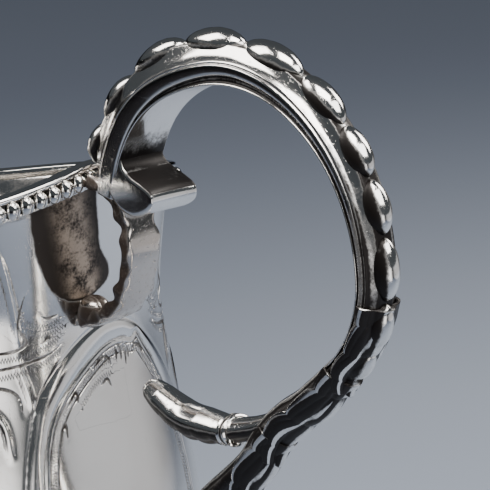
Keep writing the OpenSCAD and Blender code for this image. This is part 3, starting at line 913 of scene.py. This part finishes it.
class JUG_OT_stem(bpy.types.Operator):
    """Draw the stem down to the body, with its milled edge"""

    bl_idname = "jug.stem"
    bl_label = "Stem"

    def execute(self, context):
        side_w = sizes().strap_w_side
        b = full_turn(48)
        from_side = np.abs(np.mod(b, np.pi) - np.pi / 2)
        groove = 1 - 0.16 * bell(from_side - 0.55, 0.16)
        # Tarnish in the milled grooves, and painted shade over the stem's near and far flat
        # sides.
        dark = np.clip(bell(from_side - 0.55, 0.2) + 0.9 * np.sin(b) ** 4, 0, 1)

        def section(t):
            depth = np.interp(t, [0, 0.15, 0.6, 1], [3.0, 4.6, 4.4, 3.2])
            width = np.interp(t, [0, 0.3, 1], [side_w * 0.9, side_w, 4.2])
            milled = 1 + 0.05 * bell(from_side, 0.25) * math.sin(t * 420)
            return oval(b, depth * groove, width * groove * milled, dark)

        swept("handle_stem_silver", "handle_stem", stem_route(), section)
        return {"FINISHED"}


def leaf(name, node, path, depth, width, lobes, curl):
    """An acanthus leaf that hugs the handle's outside and sides, with its tip lifting away."""
    v = np.linspace(-1, 1, 81)
    side = np.abs(v)

    def section(t):
        tip = np.clip((t - 0.55) / 0.45, 0, 1)
        lobe = np.abs(np.cos(np.pi * (0.30 * lobes * t - 1.5 * side ** 1.2))) ** 0.7
        edge = abs(math.cos(math.pi * lobes * t)) ** 0.5
        turn = v * math.radians(104) * (0.84 + 0.16 * edge) * (1 - 0.62 * tip ** 2)
        ribs = 0.7 * lobe * side ** 0.5 * (1 - side ** 3) * (1 - 0.4 * tip)
        middle = (0.2 + 1.3 * edge) * bell(v, 0.24) - 0.4 * bell(side - 0.3, 0.06)
        lip = 0.25 * np.clip((side - 0.82) / 0.18, 0, 1) ** 2 * edge
        thick = 0.45 * (1 + ribs + middle + lip)
        # Painted shade over the leaf's flanks, lifted along the raised ribs, with the midrib and
        # edges left bright as painted highlights; the valleys between lobes and the grooves
        # beside the midrib gather tarnish.
        painted_flank_shade = 0.85 * ease((side - 0.06) / 0.10) * (1 - ease((side - 0.84) / 0.08))
        rib = 1 - 1.3 * bell(lobe - 1, 0.035) * (side > 0.2)
        dark = np.clip(painted_flank_shade * rib + 1.4 * (1 - lobe) ** 0.8 * (side > 0.15)
                       + 0.9 * bell(side - 0.3, 0.08) + 0.25 * rib
                       + 0.5 * (1 - edge) * bell(v, 0.25), 0, 1)
        outer = oval(turn, depth + 2 * thick, width + 2 * thick, dark)
        # The inner face, against the handle, is painted dark as shade.
        inner = oval(turn, depth, width, 0.9)[::-1]
        lift = curl * tip ** 2.2 * (1 - 0.35 * v * v)
        return np.vstack([outer, inner]) + np.outer(np.r_[lift, lift[::-1]], (1, 0, 0))

    swept(name, node, even_path(smooth_path(path), 120), section)


class JUG_OT_leaves(bpy.types.Operator):
    """Wrap the acanthus leaves round the tail of the loop and the stem"""

    bl_idname = "jug.leaves"
    bl_label = "Leaves"

    def execute(self, context):
        s = sizes()
        side_w = s.strap_w_side
        upper = [loop_place(deg, s.loop_r + strap_depth(deg) / 2 + out)
                 for deg, out in ((-5, 0), (-14, 0), (-24, 0), (-34, 0), (-41, 0.4))]
        stem = stem_route()
        leaf("leaf_upper_silver", "leaf_upper", upper, 2.6, side_w + 0.1, 3, 0.6)
        leaf("leaf_lower_silver", "leaf_lower", stem[4:60:8], 4.3, side_w - 0.2, 3, 0.5)
        leaf("stem_leaf_silver", "stem_leaf", stem[42:78:6], 4.5, side_w - 0.3, 2, 2.2)
        return {"FINISHED"}


class JUG_OT_curl(bpy.types.Operator):
    """Cast the inner curl, creased and scalloped along its underside, and its collar"""

    bl_idname = "jug.curl"
    bl_label = "Inner curl"

    def execute(self, context):
        tail = tail_place()
        collar = tail + [-21.1, -12.4]
        route = even_path(smooth_path([
            tail + [-8.3, -6.4], tail + [-14.2, -10], collar, collar + [-3.9, -0.5],
            collar + [-8.8, -0.5], collar + [-12.8, 0.6], collar + [-17.4, 2.5]]), 150)
        b = full_turn(44)
        from_crease = np.minimum(b, 2 * np.pi - b) - 0.75
        crease = 1 - 0.10 * bell(from_crease, 0.13)
        # Painted shade: the curl is dark over its underside and along its crease.
        shaded = np.clip(0.95 * ease((np.cos(b) + 0.35) / 0.6) + 0.6 * bell(from_crease, 0.15),
                         0, 1)

        def section(t):
            at = [0, 0.3, 0.42, 0.5, 0.62, 0.78, 0.9, 0.96, 0.99, 1]
            depth = np.interp(t, at, [2.8, 3.1, 3.5, 4.2, 4.9, 4.7, 4.0, 3.2, 2.1, 0.5])
            width = np.interp(t, at, [4.0, 4.2, 4.6, 5.2, 5.6, 5.2, 4.4, 3.6, 2.4, 0.6])
            under = ease((np.cos(b) + 0.2) / 0.5)
            scallop = abs(math.sin(math.pi * (t - 0.42) / 0.105)) ** 0.5 if 0.42 < t < 0.84 else 1
            notch = 1 - 0.24 * under * (1 - scallop)
            # The painted shade is a little stronger along the middle of the curl.
            fade = np.interp(t, [0, 0.3, 0.4, 0.7, 1], [1, 1.05, 1.15, 1.15, 0.9])
            return oval(b, depth * crease * notch, width * crease, fade * shaded)

        def band(t):
            swell = 1 + 0.10 * math.sin(math.pi * t) + 0.12 * bell(abs(t - 0.5) - 0.36, 0.1)
            return oval(full_turn(40), 3.8 * swell, 5.0 * swell, bell(2 * t - 1, 0.35))

        swept("inner_curl_silver", "inner_curl", route, section)
        line = smooth_path([collar + [0.9, 0.15], collar, collar + [-0.9, -0.1]])
        swept("curl_collar_silver", "curl_collar", even_path(line, 26), band)
        return {"FINISHED"}


class JUG_OT_bracket(bpy.types.Operator):
    """Bend the rough cast bracket under the roll, with its lobed toe"""

    bl_idname = "jug.bracket"
    bl_label = "Bracket"

    def execute(self, context):
        neck_r = sizes().neck_r
        low, high = cad_mm("upper_bracket")
        top, tip_z = high[2] - 0.3, low[2] + 0.8
        rim_r = float(body_r(0, rim_z(0)))
        route = even_path(smooth_path([
            (rim_r + 1.7, top - 0.4), (rim_r + 7.6, top - 2.4), (neck_r + 11.6, top - 9.2),
            (neck_r + 9.2, top - 16.6), (neck_r + 4.4, top - 20),
            (float(body_r(0, tip_z)) + 0.4, tip_z)]), 110)
        profile = smooth_path([(-0.75, 0.0), (-0.8, 0.6), (-0.9, 0.9), (-0.55, 1.0), (0.1, 0.98),
                               (0.5, 0.86), (0.62, 0.5), (0.66, 0.0), (0.62, -0.5),
                               (0.5, -0.86), (0.1, -0.98), (-0.55, -1.0), (-0.9, -0.9),
                               (-0.8, -0.6)], 3, closed=True)
        u, v = profile.T
        edge = 0.9 * bell(np.abs(v) - 0.99, 0.07)
        rough = np.clip(np.where(u < -0.4, 0.95, 0.1) + edge, 0, 1)

        def section(t):
            width = np.interp(t, [0, 0.2, 0.5, 0.8, 1], [5.0, 5.8, 5.9, 5.4, 3.4])
            wavy = 1 + 0.07 * math.sin(t * 34) + 0.035 * math.sin(t * 71 + 1)
            swell = 1 + 0.25 * math.sin(t * 52 + 0.6) * (np.abs(v) > 0.8)
            return columns(u * swell * 1.25, v * width / 2 * wavy, rough)

        swept("bracket_strap", "upper_bracket", route, section, "as_cast_silver")
        self.toe()
        return {"FINISHED"}

    def toe(self):
        low, high = cad_mm("bracket_toe")
        centre, half = (low + high) / 2 + [0.2, 0, -0.5], (high - low) / 2 * 1.22
        polar, turn = np.linspace(0.02, np.pi - 0.02, 34)[:, None], full_turn(40)
        x, y, z = np.sin(polar) * np.cos(turn), np.cos(polar), np.sin(polar) * np.sin(turn)
        dent = 1 - 0.16 * bell(y, 0.14) * (x > -0.2)
        # Painted highlight: a bright band across the upper part of each lobe, the rest left dark.
        dark = np.clip(1.0 - 0.9 * bell(z - 0.6, 0.12) * (np.abs(y) > 0.15), 0, 1)
        piece("bracket_toe_lobe", centre + columns(x, y, z) * half * dent[..., None],
              "as_cast_silver", "bracket_toe", dark)


class JUG_OT_lower_joint(bpy.types.Operator):
    """Roll the volute and solder its plate where the stem meets the body"""

    bl_idname = "jug.lower_joint"
    bl_label = "Lower joint"

    def execute(self, context):
        low, high = cad_mm("lower_volute")
        radius, width = (high[0] - low[0]) / 2, high[1] * 2
        turns = np.linspace(0, 1, 150)
        r = radius * (0.86 - 0.62 * turns)
        a = math.radians(95) - turns * math.radians(640)
        route = (low + high)[[0, 2]] / 2 + columns(r * np.cos(a), r * np.sin(a))

        def section(t):
            return oval(full_turn(28), 1.15 * (1 - 0.3 * t), width * (0.82 + 0.18 * t), 0.25)

        swept("lower_volute_silver", "lower_volute", route, section)
        self.plate()
        return {"FINISHED"}

    def plate(self):
        low, high = cad_mm("joint_plate")
        half_y, mid_z, half_z = high[1], (low[2] + high[2]) / 2, (high[2] - low[2]) / 2
        turn = full_turn(72)
        rings, dark = [], []
        for t, lift in [(1.0, -0.2), (1.0, 0.35), (0.96, 0.7), (0.88, 0.9), (0.7, 0.98),
                        (0.4, 0.98), (0.03, 0.98)]:
            shape = t * (0.86 + 0.14 * np.abs(np.cos(turn * 2.5)) ** 0.7)
            y, z = half_y * shape * np.cos(turn), mid_z + half_z * shape * np.sin(turn)
            rings.append(columns(np.sqrt((body_r(0, z) + lift) ** 2 - y * y), y, z))
            dark.append(np.full(72, 0.9 if lift < 0.5 else 0.2))
        piece("joint_plate_silver", np.array(rings), "handle_silver", "joint_plate", dark)


# Foot -----------------------------------------------------

def turned(name, node, outline, dark):
    """A piece of the foot turned from a smooth outline of radius and height."""
    line = np.maximum(smooth_path(outline, 6, closed=True), (0.05, 0))
    hoop(name, line, "foot_silver", node, dark(*line.T))


class JUG_OT_foot(bpy.types.Operator):
    """Turn the foot: collar, dome, bead ring and base ring"""

    bl_idname = "jug.foot"
    bl_label = "Foot"

    def execute(self, context):
        foot_r, base_t = FOOT_HIGH[0], FOOT_HIGH[2]
        waist, z0, z1 = 7.5, COLLAR_LOW[2], COLLAR_HIGH[2]
        turned("foot_collar_silver", "foot_collar", [
            (0.2, z0), (waist, z0), (waist + 0.9, z0 + 0.35), (waist + 1.8, z0 + 1.2),
            (waist + 1.85, z0 + 1.9), (waist + 1.0, z0 + 2.8), (waist + 0.4, z1 - 0.2),
            (0.2, z1)], lambda r, z: 0.8 * bell(z - z0, 0.3) + 0.8 * bell(z - z1, 0.3))
        dome_r = cad_mm("foot_dome")[1][0]
        share = np.linspace(0, 1, 40)
        r = dome_r + (waist - dome_r) * ease(share) ** 0.62
        z = base_t + (z0 - base_t) * share
        step = 0.16 * bell(share - 0.12, 0.03) + 0.16 * bell(share - 0.82, 0.03)
        outer, inner = columns(r - step, z), columns(np.maximum(r - 1.1, 0.4), z - 0.02)
        line = np.vstack([outer, [(0.2, z0)], [(0.2, z0 - 0.9)], inner[-3::-1]])
        dark = 0.8 * bell(share, 0.03) + 0.6 * bell(share - 0.12, 0.02)
        dark += 0.6 * bell(share - 0.82, 0.02)
        hoop("foot_dome_silver", line, "foot_silver", "foot_dome",
             np.r_[dark, np.full(len(line) - len(share), 0.5)])
        inner_r = dome_r - 3
        turned("foot_base_silver", "foot_base_ring", [
            (inner_r, 0.05), (inner_r + 1, 0), (foot_r - 0.6, 0), (foot_r - 0.1, 0.3),
            (foot_r - 0.02, 0.8), (foot_r - 0.1, 1.3), (foot_r - 0.6, base_t),
            (inner_r + 1, base_t), (inner_r, base_t - 0.05)],
            lambda r, z: 0.7 * bell(r - foot_r + 2.4, 0.6) * (z > 1))
        bead = cad_mm("foot_beads")[1][2] - base_t + 0.12
        ring_r = foot_r - bead / 2 - 0.2
        count = int(360 // math.degrees(2 * math.asin((bead + 0.12) / (2 * ring_r))))
        centres = round_points(np.arange(count) * 360 / count, ring_r, base_t + bead / 2 - 0.12)
        bead_field("foot_bead_row", centres, bead, "foot_silver", "foot_beads")
        return {"FINISHED"}


# Stage ----------------------------------------------------

VIEW_AZIMUTH, VIEW_HEIGHT = 48.0, 16.0
VIEW_TARGET = (61.0, 0.0, 107.2)
VIEW_DISTANCE, VIEW_SPAN = 1200.0, 64.5
WARM = (1.0, 0.955, 0.91)
# Name, azimuth, height, distance, size, power, colour and how far its sides fade.
LAMPS = (
    ("overhead_lamp", 20, 74, 0.60, (0.38, 0.38), 4.2, WARM, 0),
    ("left_lamp", -62, 38, 0.60, (0.29, 0.38), 2.5, WARM, 0),
    ("back_lamp", 175, 34, 0.60, (0.27, 0.36), 2.1, WARM, 0),
    ("right_card", 140, -8, 0.36, (0.90, 0.15), 0.26, (0.98, 0.975, 1.0), 0.36),
    ("front_card", 66, -10, 0.30, (0.26, 0.13), 0.21, (1.0, 0.98, 0.97), 0.4),
    ("side_lamp", 92, 40, 0.30, (0.24, 0.24), 0.9, (1.0, 0.985, 0.96), 0))


def toward_camera(azimuth, height):
    a, e = math.radians(azimuth), math.radians(height)
    return Vector((math.sin(a) * math.cos(e), -math.cos(a) * math.cos(e), math.sin(e)))


def soften_edges(lamp, fade):
    """Let a lamp's light fall off towards its two upright edges."""
    lamp.use_nodes = True
    wires = Wiring(lamp.node_tree)
    across = wires.node("SeparateXYZ", {0: wires.node("NewGeometry")["Parametric"]})["X"]
    rise, fall = wires.ramp(across, 0, fade), wires.ramp(across, 1, 1 - fade)
    wires.feed(wires.tree.nodes["Emission"].inputs["Strength"], wires.times(rise, fall))


def softbox(name, azimuth, height, distance, size, power, colour, fade):
    """A large soft lamp that looks at the handle."""
    lamp = bpy.data.lights.new(name, "AREA")
    lamp.shape = "RECTANGLE"
    lamp.size, lamp.size_y = size
    lamp.energy = power
    lamp.color = colour
    if fade:
        soften_edges(lamp, fade)
    obj = new_object(name, lamp)
    obj.visible_camera = False
    away = toward_camera(azimuth, height)
    obj.location = Vector(VIEW_TARGET) * MM + away * distance
    obj.rotation_euler = away.to_track_quat("Z", "Y").to_euler()
    return obj


class JUG_OT_stage(bpy.types.Operator):
    """Set up the floor, the soft lamps and the camera"""

    bl_idname = "jug.stage"
    bl_label = "Stage"

    def execute(self, context):
        self.floor()
        self.lamps()
        self.camera()
        return {"FINISHED"}

    def floor(self):
        look, half = finish(), 6.0
        mesh = bpy.data.meshes.new("floor")
        mesh.from_pydata([(-half, -half, 0), (half, -half, 0), (half, half, 0),
                          (-half, half, 0)], [], [(0, 1, 2, 3)])
        obj = new_object("floor", mesh)
        material, wires, shader = new_material("Pale floor")
        place = wires.node("TexCoord")["Object"]
        shift = wires.node("VectorMath", {0: place, 1: (-0.03, -0.20, 0)})["Vector"]
        reach = wires.node("VectorMath", {0: shift}, operation="LENGTH")["Value"]
        # Painted shade: the floor darkens with distance from a point beside the jug, from the
        # pale floor colour to the far floor colour and then to near-black, in place of light
        # falling off.
        near, far = wires.ramp(reach, 0.10, 0.38), wires.ramp(reach, 0.42, 0.51)
        pale = wires.mix(near, (*look.floor, 1), (*look.shade, 1))
        wires.feed(shader["Base Color"], wires.mix(far, pale, (0.012, 0.012, 0.014, 1)))
        wires.feed(shader["Roughness"], 0.9)
        wires.feed(shader["Specular IOR Level"], 0.0)
        mesh.materials.append(material)

    def lamps(self):
        made = [softbox(*lamp) for lamp in LAMPS]
        made[-1].rotation_euler = (0, 0, 0)
        world = bpy.data.worlds.new("Studio")
        bpy.context.scene.world = world
        world.use_nodes = True
        back = world.node_tree.nodes["Background"]
        back.inputs["Color"].default_value = (0.20, 0.225, 0.25, 1)
        back.inputs["Strength"].default_value = 0.28

    def camera(self):
        data = bpy.data.cameras.new("camera")
        data.lens = data.sensor_width * VIEW_DISTANCE / VIEW_SPAN
        data.clip_start, data.clip_end = 0.05, 20
        obj = new_object("camera", data)
        away = toward_camera(VIEW_AZIMUTH, VIEW_HEIGHT)
        obj.location = Vector(VIEW_TARGET) * MM + away * VIEW_DISTANCE * MM
        obj.rotation_euler = away.to_track_quat("Z", "Y").to_euler()
        bpy.context.scene.camera = obj


# Panel and registration -----------------------------------

OPERATORS = (JUG_OT_body, JUG_OT_rim, JUG_OT_strap, JUG_OT_lobes, JUG_OT_stem,
             JUG_OT_leaves, JUG_OT_curl, JUG_OT_bracket, JUG_OT_lower_joint, JUG_OT_foot,
             JUG_OT_stage)


class JUG_PT_panel(bpy.types.Panel):
    """Lists the jug's pieces and its sizes"""

    bl_idname = "JUG_PT_panel"
    bl_label = "Cream Jug"
    bl_space_type = "VIEW_3D"
    bl_region_type = "UI"
    bl_category = "Cream Jug"

    def draw(self, context):
        for operator in OPERATORS:
            self.layout.operator(operator.bl_idname)
        for group in (context.scene.jug_sizes, context.scene.jug_finish):
            box = self.layout.box()
            for key in group.bl_rna.properties.keys():
                if key not in ("rna_type", "name"):
                    box.prop(group, key)


CLASSES = (JugSizes, JugFinish, *OPERATORS, JUG_PT_panel)


def register():
    for cls in CLASSES:
        bpy.utils.register_class(cls)
    bpy.types.Scene.jug_sizes = PointerProperty(type=JugSizes)
    bpy.types.Scene.jug_finish = PointerProperty(type=JugFinish)


def unregister():
    del bpy.types.Scene.jug_finish
    del bpy.types.Scene.jug_sizes
    for cls in reversed(CLASSES):
        bpy.utils.unregister_class(cls)


def main():
    register()
    for operator in OPERATORS:
        group, name = operator.bl_idname.split(".")
        getattr(getattr(bpy.ops, group), name)()


if __name__ == "__main__":
    main()
